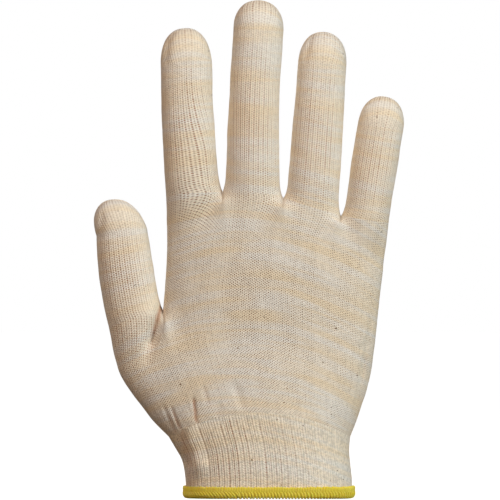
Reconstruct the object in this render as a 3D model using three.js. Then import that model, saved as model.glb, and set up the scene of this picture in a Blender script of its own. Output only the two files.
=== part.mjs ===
// A seamless knit work glove, held in the shape of the hand that wears it.
// Four finger tubes and a thumb tube are knitted first, then joined course by course into the palm,
// which runs down into a ribbed cuff. An overlocked thread edging wraps the cuff's lower edge.
// The fabric is a hollow wall all over, open at the wrist.
// Millimetres. +Z runs to the fingertips, +X to the little finger, and -Y is the back of the hand.
// The origin is the middle of the wrist opening, level with the edging's lower side.
import * as THREE from "three";
import { mergeVertices } from "three/addons/utils/BufferGeometryUtils.js";

const { clamp, lerp, smoothstep, degToRad } = THREE.MathUtils;

// Fabric
const knitWall = 1.4; // thickness of the knitted wall
const seamGap = 0.3; // clearance between two pieces
const roundness = 2.25; // exponent of a limb's oval, where 2 is an ellipse
const limbStitches = 6; // facets across one side of a finger

// Edging of overlocked thread
const edgingHeight = 5.4;
const threadCover = 1.3; // thread lying on each face of the cuff
const edgingBite = 3; // how far the cuff reaches into the edging
const edgingTaper = 0.85; // its width at the top as a share of that below
const edgingFacets = 30; // facets along each side of the edging
const edgingArcs = 5; // facets round the edging's lower side

// Ribbed cuff
const cuffWidth = 80.6;
const cuffDepth = 52;
const cuffLength = 24.4; // edging to palm, at the sides
const cuffArch = 12; // how much further the cuff reaches up at the middle
const cuffRoundness = 2.5;
const ribCount = 84;
const ribHeight = 0.5;
const ribStart = 0.2; // the ribs rise over this share of the cuff, from the palm down

// Palm
const fiveFingerLength = 61.6; // cuff to thumb crotch
const fourFingerLength = 56; // thumb crotch to the root of the index finger
const palmDepth = 34; // at the level of the thumb crotch
const palmHollow = 4; // how far the palm side sinks between its two pads
const palmShift = 4; // the knuckles' middle lies this far towards the little finger
const palmBow = 1.3; // outward bend of the edge below the index finger
const heelInset = 5.6; // the palm narrows by this from the little finger to the thumb's level
const heelDrop = 5.4; // the course at the thumb crotch ends this much lower at the far edge
const knuckleArch = 4.7; // height of the arch that a course makes across the palm at the knuckles
const courseArch = 14; // the same at the thumb crotch
const heelArch = 17.5; // the same below the thumb, across all five fingers
const gatherDepth = 0.8; // folds where the palm is drawn in to the cuff
const gatherLength = 16;

// How the palm's shapes pass into one another, as shares of the way down a part of it
const knuckleFade = 0.6; // the knuckles flatten over this share, from the fingers down
const valleyFade = 0.13; // and the valleys below the crotches over this one
const valleySides = [0.1, 0.5]; // sides of such a valley, as shares of a finger's width
const hollowStart = 0.8; // the palm side's hollow deepens over this share, from the fingers down
const hollowEnd = 0.9; // and rises again over this one, from the thumb down
const thumbFade = 0.75; // the thumb's root flattens over this share, from the thumb down
const thumbValleyFade = 0.16; // and the valley below the thumb crotch over this one
const gatherStart = 0.08; // the gathers start over this share, from the cuff up

// Collars of the palm on which the fingers and the thumb start
const collarHeight = 3;
const collarFold = 1.2; // height of the collar's first course above the palm

// The fingers from left to right. Each takes a span of the knuckle line, whose far end lies lower by
// drop, and leans towards the little finger by degrees. Bow and waist bend and narrow its middle.
// The space between it and the next finger is gap wide, gapRise above the crotch.
const fingers = [
  { name: "index_finger", span: 27.6, drop: -1, length: 80.2, lean: -3, tipWidth: 24.8, capHeight: 17.4,
    rootDepth: 24, tipDepth: 21, curl: 5, bow: -0.7, waist: 0.2, gap: 2.4, gapRise: 3.4 },
  { name: "middle_finger", span: 29.4, drop: 3.1, length: 94.6, lean: 1.9, tipWidth: 24.4, capHeight: 14.2,
    rootDepth: 24.5, tipDepth: 21, curl: 5.5, bow: -0.8, waist: 1, gap: 3, gapRise: 1.6 },
  { name: "ring_finger", span: 27.9, drop: 8.7, length: 85.4, lean: 4, tipWidth: 23.2, capHeight: 16.4,
    rootDepth: 23.5, tipDepth: 20, curl: 5.5, bow: 0, waist: 0, gap: 2.8, gapRise: 5.6 },
  { name: "little_finger", span: 23.1, drop: 3.2, length: 60.6, lean: 8.8, tipWidth: 22.2, capHeight: 15.4,
    rootDepth: 21.5, tipDepth: 19, curl: 4.5, bow: -0.2, waist: -0.2, gap: 0, gapRise: 1 },
];
// The thumb's span slopes down from its crotch by degrees. It is set back to the palm side, and its
// tip stands askew.
const thumb = { name: "thumb", span: 27.7, slope: 16.2, length: 58.4, lean: -8.4, tipWidth: 24.4,
  capHeight: 16.4, rootDepth: 26, tipDepth: 21.5, curl: 3, bow: -0.7, waist: -1.3, gap: 2.8, gapRise: 3,
  setBack: 4, skew: -2.7 };

// The palm below the thumb, as shares of the way from the thumb's level to the cuff
const lowerPalm = [
  { down: 0, leftIn: 0, leftDown: 0, rightIn: 0, rightDown: 0, depthIn: 0 },
  { down: 0.15, leftIn: 0.06, leftDown: 0.17, rightIn: 0.06, rightDown: 0.155, depthIn: 0.04 },
  { down: 0.3, leftIn: 0.115, leftDown: 0.31, rightIn: 0.14, rightDown: 0.3, depthIn: 0.12 },
  { down: 0.45, leftIn: 0.205, leftDown: 0.455, rightIn: 0.235, rightDown: 0.45, depthIn: 0.24 },
  { down: 0.6, leftIn: 0.38, leftDown: 0.6, rightIn: 0.375, rightDown: 0.595, depthIn: 0.4 },
  { down: 0.75, leftIn: 0.58, leftDown: 0.74, rightIn: 0.59, rightDown: 0.74, depthIn: 0.6 },
  { down: 0.88, leftIn: 0.78, leftDown: 0.88, rightIn: 0.8, rightDown: 0.88, depthIn: 0.8 },
  { down: 1, leftIn: 1, leftDown: 1, rightIn: 1, rightDown: 1, depthIn: 1 },
];
// Creases across the front of the palm. Places are shares of the knuckles' width, from its left end,
// and of the way from the cuff up to the thumb crotch. Width and depth are shares of the palm's depth.
const creases = [
  { fromAcross: -0.015, fromUp: 1, toAcross: -0.1, toUp: 0.74, width: 0.15, depth: 0.09 },
  { fromAcross: -0.1, fromUp: 0.74, toAcross: -0.115, toUp: 0.5, width: 0.17, depth: 0.04 },
];
// The cuff's two outlines as shares of its width, from the palm down to the edging
const cuffOutline = [
  { down: 0, left: -0.605, right: 0.487, depth: 0.96 },
  { down: 0.2, left: -0.562, right: 0.482, depth: 0.965 },
  { down: 0.4, left: -0.524, right: 0.486, depth: 0.975 },
  { down: 0.6, left: -0.508, right: 0.494, depth: 0.99 },
  { down: 0.8, left: -0.501, right: 0.5, depth: 1 },
  { down: 1, left: -0.5, right: 0.5, depth: 1 },
];

// Where the courses of each piece lie, as shares of its length
const upperPalmCourses = [0, 0.05, 0.13, 0.26, 0.45, 0.7, 1];
const lowerPalmCourses = [0, 0.07, 0.16, 0.3, 0.46, 0.62, 0.78, 0.9, 1];
const fingerCourses = [0, 0.18, 0.4, 0.7, 1];
const capCourses = [0.2, 0.4, 0.6, 0.8, 1];
const cuffCourses = [0, 0.12, 0.35, 0.65, 1];

const shareBack = 0.53; // share of a depth that lies on the palm side
const crotchCurve = 1.4; // how sharply the space above a crotch opens, where 1 is a plain V
const crotchSink = 1.3; // how far a crotch lies lower inside the wall, in thicknesses of the wall
const seamStart = degToRad(14); // a fingertip's closing seam starts this far up its round end

// Heights above the edging's lower side, and the ends of the knuckle line
const cuffFoot = edgingHeight - edgingBite;
const cuffTop = edgingHeight + cuffLength;
const thumbCrotchHeight = cuffTop + fiveFingerLength;
const knuckleHeight = thumbCrotchHeight + fourFingerLength;
const knuckleWidth = fingers.reduce((sum, finger) => sum + finger.span, 0);
const knuckleLeft = palmShift - knuckleWidth / 2;
const thumbCrotch = new THREE.Vector3(knuckleLeft - palmBow, 0, thumbCrotchHeight);

// The value of each column of a table at a share of the way down it, along a smooth curve
function readTable(table, column, down) {
  const slope = (i) => {
    const before = table[Math.max(i - 1, 0)];
    const after = table[Math.min(i + 1, table.length - 1)];
    return (after[column] - before[column]) / (after.down - before.down);
  };
  let i = 0;
  while (i < table.length - 2 && down > table[i + 1].down) {
    i += 1;
  }
  const width = table[i + 1].down - table[i].down;
  const t = (down - table[i].down) / width;
  const ease = t * t * (3 - 2 * t);
  return (
    lerp(table[i][column], table[i + 1][column], ease) +
    width * t * (1 - t) * (slope(i) * (1 - t) - slope(i + 1) * t)
  );
}

// Points of a half oval from its left end to its right end, all the same arc apart
function evenOval(halfWidth, depth, exponent, count) {
  const fineSteps = 160;
  const outline = [];
  for (let i = 0; i <= fineSteps; i += 1) {
    const across = -Math.cos((Math.PI * i) / fineSteps);
    const height = (1 - Math.abs(across) ** exponent) ** (1 / exponent);
    outline.push(new THREE.Vector2(halfWidth * across, depth * height));
  }
  return new THREE.SplineCurve(outline).getSpacedPoints(count);
}

// One knitted course between two ends: the points of its front and its back, which share the ends
function layCourse(left, right, section, inset, stitches) {
  const { front, back, exponent, arch = 0, hollow = 0 } = section;
  const half = left.distanceTo(right) / 2;
  const side = (depth, facing, sink) =>
    evenOval(half, depth - inset, exponent, stitches).map((p) => {
      const share = (p.x / half + 1) / 2;
      const middle = 4 * share * (1 - share);
      const point = left.clone().lerp(right, share);
      point.z += arch * middle;
      point.y += facing * (p.y - sink * middle ** 2);
      return point;
    });
  return { front: side(front, -1, 0), back: side(back, 1, hollow) };
}

// The course of a section, or of the inside of its wall where inset is the wall's thickness
function makeCourse(section, inset, stitches) {
  const along = section.right.clone().sub(section.left).normalize();
  const left = section.left.clone().addScaledVector(along, inset);
  const right = section.right.clone().addScaledVector(along, -inset);
  return layCourse(left, right, section, inset, stitches);
}

// A limb: its span on the palm, its tube and its round cap. Where an end of the span is a crotch, the
// space there is given, and the tube stands half of its width inside the span.
function makeLimb(shape, spanLeft, spanRight, leftSpace, rightSpace) {
  const along = spanRight.clone().sub(spanLeft).normalize();
  const rootLeft = spanLeft.clone().addScaledVector(along, (leftSpace?.gap ?? 0) / 2);
  const rootRight = spanRight.clone().addScaledVector(along, -(rightSpace?.gap ?? 0) / 2);
  const root = rootLeft.clone().add(rootRight).divideScalar(2);
  const lean = degToRad(shape.lean);
  const axis = new THREE.Vector3(Math.sin(lean), 0, Math.cos(lean));
  const across = new THREE.Vector3(Math.cos(lean), 0, -Math.sin(lean));
  const tube = shape.length - shape.capHeight;
  const capMiddle = root.clone().addScaledVector(axis, tube).setY(shape.setBack ?? 0);
  const left = { span: spanLeft, root: rootLeft, space: leftSpace, side: -1 };
  const right = { span: spanRight, root: rootRight, space: rightSpace, side: 1 };
  return { ...shape, left, right, axis, across, tube, capMiddle };
}

// How far the limb curls towards the palm side at a height along it
const curlAt = (limb, height) => limb.curl * (height / limb.length) ** 2;

// The course where a limb meets the palm. Inside the wall a crotch lies lower.
function rootCourse(limb, inset) {
  const along = limb.right.span.clone().sub(limb.left.span).normalize();
  const [left, right] = [limb.left, limb.right].map(({ span, space, side }) => {
    const end = span.clone();
    return space ? end.setZ(end.z - crotchSink * inset) : end.addScaledVector(along, -side * inset);
  });
  const section = { front: limb.rootDepth / 2, back: limb.rootDepth / 2, exponent: roundness };
  return layCourse(left, right, section, inset, limbStitches);
}

// A course of the limb's tube, at a height above its root along the limb
function tubeCourse(limb, height, inset) {
  const share = height / limb.tube;
  const middle = 4 * share * (1 - share);
  const [left, right] = [limb.left, limb.right].map(({ span, root, space, side }) => {
    const opened = space ? 1 - Math.max(1 - height / space.gapRise, 0) ** crotchCurve : 1;
    const capEnd = limb.capMiddle.clone().addScaledVector(limb.across, (side * limb.tipWidth) / 2);
    const point = span.clone().lerp(root, opened).lerp(capEnd, share);
    point.addScaledVector(limb.across, side * inset * (1 - opened));
    point.addScaledVector(limb.across, middle * (limb.bow - (side * limb.waist) / 2));
    point.y += curlAt(limb, height);
    return point;
  });
  const depth = lerp(limb.rootDepth, limb.tipDepth, share) / 2;
  return makeCourse({ left, right, front: depth, back: depth, exponent: roundness }, inset, limbStitches);
}

// A course of the limb's round end. It turns from the tube's last course, at share 0, to the
// closing seam over the tip, at share 1, on which front and back meet.
function capCourse(limb, share, inset) {
  const half = limb.tipWidth / 2 - inset;
  const depth = limb.tipDepth / 2 - inset;
  const rise = limb.capHeight - inset;
  const ring = evenOval(half, depth, roundness, limbStitches);
  const side = (facing) =>
    ring.map((p, i) => {
      const angle = lerp(seamStart, Math.PI - seamStart, i / limbStitches);
      const from = new THREE.Vector3(p.x / half, (facing * p.y) / depth, 0).normalize();
      const seam = new THREE.Vector3(-Math.cos(angle), 0, Math.sin(angle));
      const turn = from.angleTo(seam);
      const unit = from.multiplyScalar(Math.sin((1 - share) * turn));
      unit.addScaledVector(seam, Math.sin(share * turn));
      const norm = unit.toArray().reduce((sum, v) => sum + Math.abs(v) ** roundness, 0);
      unit.divideScalar(norm ** (1 / roundness));
      const point = limb.capMiddle.clone().addScaledVector(limb.axis, rise * unit.z);
      point.addScaledVector(limb.across, half * unit.x + (limb.skew ?? 0) * unit.z);
      point.y += depth * unit.y + curlAt(limb, limb.tube + rise * unit.z);
      return point;
    });
  return { front: side(-1), back: side(1) };
}

// Courses laid end to end as one, such as the four finger roots along the knuckle line
function joinCourses(courses) {
  const joined = (side) => courses.flatMap((c, i) => c[side].slice(i ? 1 : 0));
  return { front: joined("front"), back: joined("back") };
}

// A course with a share of the way that another one, of the same stitches, departs from a third.
// The share of the departure in depth can differ from stitch to stitch.
function addDeparture(course, from, plain, share, depthShare = () => share) {
  const moved = (side) =>
    course[side].map((p, i) => {
      const departure = from[side][i].clone().sub(plain[side][i]);
      return p.clone().add(departure.multiply(new THREE.Vector3(share, depthShare(i), share)));
    });
  return { front: moved("front"), back: moved("back") };
}

// What is left, at a share of the way down, of a shape that fades away over a given share
const fade = (down, over) => (1 - smoothstep(down, 0, over)) ** 2;

// How far a stitch lies out of the valley below the nearest of the first few crotches, up to 1
function outOfValley(stitch, crotches) {
  const place = stitch / limbStitches;
  const crotch = clamp(Math.round(place), 1, crotches);
  return smoothstep(Math.abs(place - crotch), ...valleySides);
}

// The fingers, laid side by side along the knuckle line
function layFingers() {
  let end = new THREE.Vector3(knuckleLeft, 0, knuckleHeight);
  return fingers.map((shape, i) => {
    const start = end;
    end = new THREE.Vector3(start.x + shape.span, 0, start.z - shape.drop);
    return makeLimb(shape, start, end, fingers[i - 1], i < fingers.length - 1 ? shape : undefined);
  });
}

function layThumb() {
  const slope = degToRad(thumb.slope);
  const reach = new THREE.Vector3(-Math.cos(slope), 0, -Math.sin(slope)).multiplyScalar(thumb.span);
  const outer = thumbCrotch.clone().add(reach).setY(thumb.setBack);
  return makeLimb(thumb, outer, thumbCrotch, undefined, thumb);
}

const fingerLimbs = layFingers();
const thumbLimb = layThumb();
const knuckleRight = fingerLimbs.at(-1).right.span;
const heel = new THREE.Vector3(knuckleRight.x - heelInset, 0, thumbCrotchHeight - heelDrop);

// The plain oval of the palm between knuckles and thumb, at a share of the way down
function upperPalmSection(down) {
  const left = new THREE.Vector3(knuckleLeft, 0, knuckleHeight).lerp(thumbCrotch, down);
  left.x += palmBow * 4 * down * (1 - down);
  const right = knuckleRight.clone().lerp(heel, down);
  const depth = lerp(fingers[1].rootDepth + 2 * knitWall, palmDepth, smoothstep(down, 0, 1));
  const arch = lerp(knuckleArch, courseArch, down);
  const hollow = palmHollow * smoothstep(down, 0, hollowStart);
  const front = depth * (1 - shareBack);
  return { left, right, arch, hollow, exponent: roundness, front, back: depth * shareBack };
}

// The cuff's oval at a share of the way down from the palm to its lower edge
function cuffSection(down) {
  const height = lerp(cuffTop, cuffFoot, down);
  const left = new THREE.Vector3(cuffWidth * readTable(cuffOutline, "left", down), 0, height);
  const right = new THREE.Vector3(cuffWidth * readTable(cuffOutline, "right", down), 0, height);
  const depth = cuffDepth * readTable(cuffOutline, "depth", down);
  const front = depth * (1 - shareBack);
  const arch = cuffArch * (1 - down);
  return { left, right, arch, exponent: cuffRoundness, front, back: depth * shareBack };
}

// The plain oval of the palm from the thumb's level to the cuff, which it meets at share 1
function lowerPalmSection(down) {
  const read = (column) => readTable(lowerPalm, column, down);
  const end = cuffSection(0);
  const corner = (top, bottom, across, drop) =>
    new THREE.Vector3(
      lerp(top.x, bottom.x, read(across)),
      lerp(top.y, bottom.y, read(drop)),
      lerp(top.z, bottom.z, read(drop)),
    );
  const front = lerp(palmDepth * (1 - shareBack), end.front, read("depthIn"));
  const back = lerp(palmDepth * shareBack, end.back, read("depthIn"));
  return {
    left: corner(thumbLimb.left.span, end.left, "leftIn", "leftDown"),
    right: corner(heel, end.right, "rightIn", "rightDown"),
    arch: lerp(heelArch, end.arch, down),
    hollow: palmHollow * (1 - smoothstep(down, 0, hollowEnd)),
    exponent: lerp(roundness, end.exponent, down),
    front,
    back,
  };
}

// Folds where the palm is drawn in above the cuff: every second wale sinks
function gatherCourse(course, down) {
  const above = (1 - down) * fiveFingerLength;
  const grown = smoothstep(1 - above / gatherLength, 0, 1) * smoothstep(1 - down, 0, gatherStart);
  const depth = gatherDepth * grown;
  const sunk = (side, facing) =>
    course[side].map((p, i) => p.clone().setY(p.y - facing * (i % 2 ? depth : 0)));
  return { front: sunk("front", -1), back: sunk("back", 1) };
}

// Presses the creases into a course's front
function creaseCourse(course) {
  const place = (across, up) =>
    new THREE.Vector3(knuckleLeft + knuckleWidth * across, 0, cuffTop + fiveFingerLength * up);
  const front = course.front.map((point) => {
    const pressed = point.clone();
    for (const crease of creases) {
      const start = place(crease.fromAcross, crease.fromUp);
      const line = new THREE.Line3(start, place(crease.toAcross, crease.toUp));
      const flat = point.clone().setY(0);
      const away = line.closestPointToPoint(flat, true, new THREE.Vector3()).distanceTo(flat);
      const near = Math.max(1 - away / (palmDepth * crease.width), 0);
      pressed.y += palmDepth * crease.depth * near * near * (3 - 2 * near);
    }
    return pressed;
  });
  front[0] = course.front[0];
  front[front.length - 1] = course.front.at(-1);
  return { front, back: course.back };
}

// The palm's courses, from the knuckles and the thumb down to the cuff
function palmCourses(inset) {
  const four = fingerLimbs.length * limbStitches;
  const five = four + limbStitches;
  const knuckles = joinCourses(fingerLimbs.map((limb) => rootCourse(limb, inset)));
  const plainKnuckles = makeCourse(upperPalmSection(0), inset, four);
  const upper = upperPalmCourses.map((down) => {
    const plain = makeCourse(upperPalmSection(down), inset, four);
    const share = fade(down, knuckleFade);
    const depthShare = (i) => lerp(fade(down, valleyFade), share, outOfValley(i, fingers.length - 1));
    return addDeparture(plain, knuckles, plainKnuckles, share, depthShare);
  });
  const lowered = upper.at(-1);
  lowered.front[0].copy(rootCourse(thumbLimb, inset).front.at(-1));
  lowered.back[0].copy(lowered.front[0]);
  const widest = joinCourses([rootCourse(thumbLimb, inset), lowered]);
  const plainWidest = makeCourse(lowerPalmSection(0), inset, five);
  const lower = lowerPalmCourses.map((down) => {
    const plain = makeCourse(lowerPalmSection(down), inset, five);
    const share = fade(down, thumbFade);
    const depthShare = (i) => lerp(fade(down, thumbValleyFade), share, outOfValley(i, 1));
    const departed = addDeparture(plain, widest, plainWidest, share, depthShare);
    return down > 0 ? creaseCourse(gatherCourse(departed, down)) : departed;
  });
  return { upper, lower };
}

// Collects triangles, and closes them into one body
class Surface {
  corners = [];

  triangle(a, b, c) {
    this.corners.push(...a.toArray(), ...b.toArray(), ...c.toArray());
  }

  quad(a, b, c, d, outwards) {
    this.triangle(a, outwards ? b : c, outwards ? c : b);
    this.triangle(a, outwards ? c : d, outwards ? d : c);
  }

  // Fabric between neighbouring courses, listed from the highest down
  weave(courses, outwards) {
    for (let row = 1; row < courses.length; row += 1) {
      for (const side of ["front", "back"]) {
        const high = courses[row - 1][side];
        const low = courses[row][side];
        for (let i = 1; i < low.length; i += 1) {
          this.quad(low[i - 1], low[i], high[i], high[i - 1], outwards === (side === "front"));
        }
      }
    }
  }

  // The cut edge of the wall, between its outer and its inner course
  rim(outer, inner, facesDown) {
    for (const side of ["front", "back"]) {
      const [out, into] = [outer[side], inner[side]];
      for (let i = 1; i < out.length; i += 1) {
        this.quad(out[i - 1], into[i - 1], into[i], out[i], facesDown === (side === "front"));
      }
    }
  }

  close() {
    const soup = new THREE.BufferGeometry();
    soup.setAttribute("position", new THREE.Float32BufferAttribute(this.corners, 3));
    const body = mergeVertices(soup, 1e-4);
    body.computeVertexNormals();
    return body;
  }
}

// A finger or the thumb: a tube from the palm's collar to a closed round tip
function limbGeometry(limb) {
  const start = collarHeight + seamGap;
  const courses = (inset) => [
    ...capCourses.map((share) => capCourse(limb, share, inset)).reverse(),
    ...fingerCourses.map((share) => tubeCourse(limb, lerp(start, limb.tube, share), inset)).reverse(),
  ];
  const [outer, inner] = [courses(0), courses(knitWall)];
  const surface = new Surface();
  surface.weave(outer, true);
  surface.weave(inner, false);
  surface.rim(outer.at(-1), inner.at(-1), true);
  return surface.close();
}

// The palm with its five collars, open at the cuff
function palmGeometry() {
  const surface = new Surface();
  const [outer, inner] = [palmCourses(0), palmCourses(knitWall)];
  for (const limb of [...fingerLimbs, thumbLimb]) {
    const collar = (inset) => [
      tubeCourse(limb, collarHeight, inset),
      tubeCourse(limb, collarFold, inset),
      rootCourse(limb, inset),
    ];
    surface.weave(collar(0), true);
    surface.weave(collar(knitWall), false);
    surface.rim(collar(0)[0], collar(knitWall)[0], false);
  }
  surface.weave(outer.upper, true);
  surface.weave(outer.lower, true);
  surface.weave(inner.upper, false);
  surface.weave(inner.lower, false);
  surface.rim(outer.lower.at(-1), inner.lower.at(-1), true);
  return surface.close();
}

// The cuff, with ribs that grow out of the plain knit at its top
function cuffGeometry() {
  const wales = ribCount;
  const lowered = (course) => {
    const drop = (side) => course[side].map((p) => p.clone().setZ(p.z - seamGap));
    return { front: drop("front"), back: drop("back") };
  };
  const ribAt = (down) => ribHeight * smoothstep(down, 0, ribStart);
  const outer = cuffCourses.map((down) => {
    const crest = lowered(makeCourse(cuffSection(down), 0, wales));
    const groove = lowered(makeCourse(cuffSection(down), ribAt(down), wales));
    const ribbed = (side) => crest[side].map((p, i) => (i % 2 ? groove[side][i] : p));
    return { front: ribbed("front"), back: ribbed("back") };
  });
  const inner = cuffCourses.map((down) =>
    lowered(makeCourse(cuffSection(down), knitWall + ribAt(down), wales)),
  );
  const surface = new Surface();
  surface.weave(outer, true);
  surface.weave(inner, false);
  surface.rim(outer[0], inner[0], false);
  surface.rim(outer.at(-1), inner.at(-1), true);
  return surface.close();
}

// The edging's section: a round-bottomed channel that takes the cuff's lower edge
function edgingSection() {
  const slot = (knitWall + ribHeight) / 2 + seamGap;
  const half = slot + threadCover;
  const floor = cuffFoot - 2 * seamGap;
  const points = [];
  for (let i = 0; i <= edgingArcs; i += 1) {
    const angle = (Math.PI * i) / edgingArcs;
    points.push([-half * Math.cos(angle), half * (1 - Math.sin(angle))]);
  }
  const top = half * edgingTaper;
  points.push([top, edgingHeight], [slot, edgingHeight], [slot, floor]);
  points.push([-slot, floor], [-slot, edgingHeight], [-top, edgingHeight]);
  return points;
}

function edgingGeometry() {
  const path = makeCourse({ ...cuffSection(1), arch: 0 }, (knitWall + ribHeight) / 2, edgingFacets);
  const loop = [...path.front, ...path.back.slice(1, -1).reverse()];
  const section = edgingSection();
  const stations = loop.map((p, i) => {
    const along = loop[(i + 1) % loop.length].clone().sub(loop.at(i - 1)).setZ(0).normalize();
    const out = new THREE.Vector3(along.y, -along.x, 0);
    return section.map(([offset, height]) => p.clone().addScaledVector(out, offset).setZ(height));
  });
  const surface = new Surface();
  stations.forEach((station, i) => {
    const next = stations[(i + 1) % stations.length];
    station.forEach((corner, k) => {
      const after = (k + 1) % section.length;
      surface.quad(corner, next[k], next[after], station[after], true);
    });
  });
  return surface.close();
}

const knitMaterial = new THREE.MeshStandardMaterial({ color: 0xdccbb0, roughness: 0.95, metalness: 0 });
const cuffMaterial = new THREE.MeshStandardMaterial({ color: 0xd9c7af, roughness: 0.95, metalness: 0 });
const threadMaterial = new THREE.MeshStandardMaterial({ color: 0xe3c21f, roughness: 0.6, metalness: 0 });

const glove = new THREE.Group();

function addPiece(name, geometry, material) {
  const mesh = new THREE.Mesh(geometry, material);
  mesh.name = name;
  glove.add(mesh);
}

for (const limb of [...fingerLimbs, thumbLimb]) {
  addPiece(limb.name, limbGeometry(limb), knitMaterial);
}
addPiece("palm_body", palmGeometry(), knitMaterial);
addPiece("rib_cuff", cuffGeometry(), cuffMaterial);
addPiece("hem_edging", edgingGeometry(), threadMaterial);

export default glove;
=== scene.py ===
# A seamless knit work glove, worn upright: fine knit surface, ribbed cuff and overlocked hem.
# Sizes are in millimetres, as in the solid model, and meshes are made in metres.
import math
import random

import bpy
import numpy as np
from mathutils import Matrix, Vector, noise
from mathutils.bvhtree import BVHTree


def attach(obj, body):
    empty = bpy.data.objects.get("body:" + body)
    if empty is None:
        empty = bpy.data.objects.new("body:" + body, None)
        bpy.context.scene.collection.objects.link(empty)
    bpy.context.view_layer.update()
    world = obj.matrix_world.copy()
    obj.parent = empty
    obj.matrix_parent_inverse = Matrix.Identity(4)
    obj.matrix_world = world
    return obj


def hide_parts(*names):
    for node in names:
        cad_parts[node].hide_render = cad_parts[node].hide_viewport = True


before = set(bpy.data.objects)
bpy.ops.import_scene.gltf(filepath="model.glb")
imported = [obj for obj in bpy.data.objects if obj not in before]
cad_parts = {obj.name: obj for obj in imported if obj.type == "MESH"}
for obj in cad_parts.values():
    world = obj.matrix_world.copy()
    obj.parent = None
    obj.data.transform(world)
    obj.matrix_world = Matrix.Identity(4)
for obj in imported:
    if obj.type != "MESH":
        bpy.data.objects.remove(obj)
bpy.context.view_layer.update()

metre = 0.001  # one millimetre

# The glove's own sizes, the same as the solids have
glove = {
    "wall": 1.4,
    "roundness": 2.25,
    "edgingHeight": 5.4,
    "edgingBite": 3,
    "ribHeight": 0.5,
    "cuffWidth": 80.6,
    "cuffDepth": 52,
    "cuffLength": 24.4,
    "cuffArch": 12,
    "cuffRoundness": 2.5,
    "fiveFingerLength": 61.6,
    "fourFingerLength": 56,
    "palmDepth": 34,
    "palmHollow": 4,
    "palmShift": 4,
    "palmBow": 1.3,
    "heelInset": 5.6,
    "heelDrop": 5.4,
    "knuckleArch": 4.7,
    "courseArch": 14,
    "heelArch": 17.5,
    "shareBack": 0.53,
    "crotchCurve": 1.4,
    "crotchSink": 1.3,
    "seamStart": math.radians(14),
    "knuckleFade": 0.6,
    "valleyFade": 0.13,
    "valleySides": (0.1, 0.5),
    "hollowStart": 0.8,
    "hollowEnd": 0.9,
    "thumbFade": 0.75,
    "thumbValleyFade": 0.16,
}
# Each finger takes a span of the knuckle line, whose far end lies lower by drop, and leans towards the
# little finger by degrees. Bow and waist bend and narrow it. The next finger is gap away at gapRise.
fingers = [
    {"span": 27.6, "drop": -1, "length": 80.2, "lean": -3, "bow": -0.7, "waist": 0.2, "curl": 5,  # index
     "tipWidth": 24.8, "tipDepth": 21, "capHeight": 17.4, "rootDepth": 24, "gap": 2.4, "gapRise": 3.4},
    {"span": 29.4, "drop": 3.1, "length": 94.6, "lean": 1.9, "bow": -0.8, "waist": 1, "curl": 5.5,  # middle
     "tipWidth": 24.4, "tipDepth": 21, "capHeight": 14.2, "rootDepth": 24.5, "gap": 3, "gapRise": 1.6},
    {"span": 27.9, "drop": 8.7, "length": 85.4, "lean": 4, "bow": 0, "waist": 0, "curl": 5.5,  # ring
     "tipWidth": 23.2, "tipDepth": 20, "capHeight": 16.4, "rootDepth": 23.5, "gap": 2.8, "gapRise": 5.6},
    {"span": 23.1, "drop": 3.2, "length": 60.6, "lean": 8.8, "bow": -0.2, "waist": -0.2,  # little
     "curl": 4.5, "tipWidth": 22.2, "tipDepth": 19, "capHeight": 15.4, "rootDepth": 21.5,
     "gap": 0, "gapRise": 1},
]
thumb = {"span": 27.7, "slope": 16.2, "length": 58.4, "lean": -8.4, "bow": -0.7, "waist": -1.3, "curl": 3,
         "tipWidth": 24.4, "tipDepth": 21.5, "capHeight": 16.4, "rootDepth": 26, "gap": 2.8, "gapRise": 3,
         "setBack": 4, "skew": -2.7}
# Columns: down, leftIn, leftDown, rightIn, rightDown, depthIn
lowerPalm = np.array([
    [0, 0, 0, 0, 0, 0],
    [0.15, 0.06, 0.17, 0.06, 0.155, 0.04],
    [0.3, 0.115, 0.31, 0.14, 0.3, 0.12],
    [0.45, 0.205, 0.455, 0.235, 0.45, 0.24],
    [0.6, 0.38, 0.6, 0.375, 0.595, 0.4],
    [0.75, 0.58, 0.74, 0.59, 0.74, 0.6],
    [0.88, 0.78, 0.88, 0.8, 0.88, 0.8],
    [1, 1, 1, 1, 1, 1],
])
# Columns: down, left, right, depth
cuffOutline = np.array([
    [0, -0.605, 0.487, 0.96],
    [0.2, -0.562, 0.482, 0.965],
    [0.4, -0.524, 0.486, 0.975],
    [0.6, -0.508, 0.494, 0.99],
    [0.8, -0.501, 0.5, 1],
    [1, -0.5, 0.5, 1],
])

# How the knit lies on the glove
knit = {
    "walesPerSide": 16,  # of one finger
    "columnsPerWale": 4,
    "palmCourse": 1.2,
    "limbCourse": 1.12,
    "coursesPerRow": 1.4,  # of the mesh
    "legRelief": 0.02,
    "ladderDepth": 0.04,
    "ladderWidth": 0.2,  # of a wale
    "lumps": [(17, 0.35), (6, 0.14)],  # size and height of slow unevenness
    "courseSag": 0.0047,  # the palm's courses sink by this times the square of the distance from their top
    "courseTop": -14,
    "lean": {"wales": 2.4, "middle": -28, "width": 11, "up": (124, 150), "down": (205, 165)},
    "relaxed": (14, 3),  # distances from a crotch at which the cloth is left as it is and is rounded off
    "relaxRounds": 14,
    "relaxShare": 0.8,
    # the painted shade along a crease takes this share of the crease's width
    "markWidth": 0.75,  # of a crease
    "insideMove": 2.5,  # the inside's way from the rounded cloth
    "tuck": [(0.02, 0.06), (0.04, 0.15), (0.07, 0.3)],  # how the palm ends under the cuff
    "capStretch": 1.25,  # length of the cloth over a fingertip's cap, in heights of the cap
    "limbStart": 300,  # courses between two limbs, so that each has its own yarn bands
    "innerShare": 5,  # rows of the outside to one of the inside
}
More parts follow.
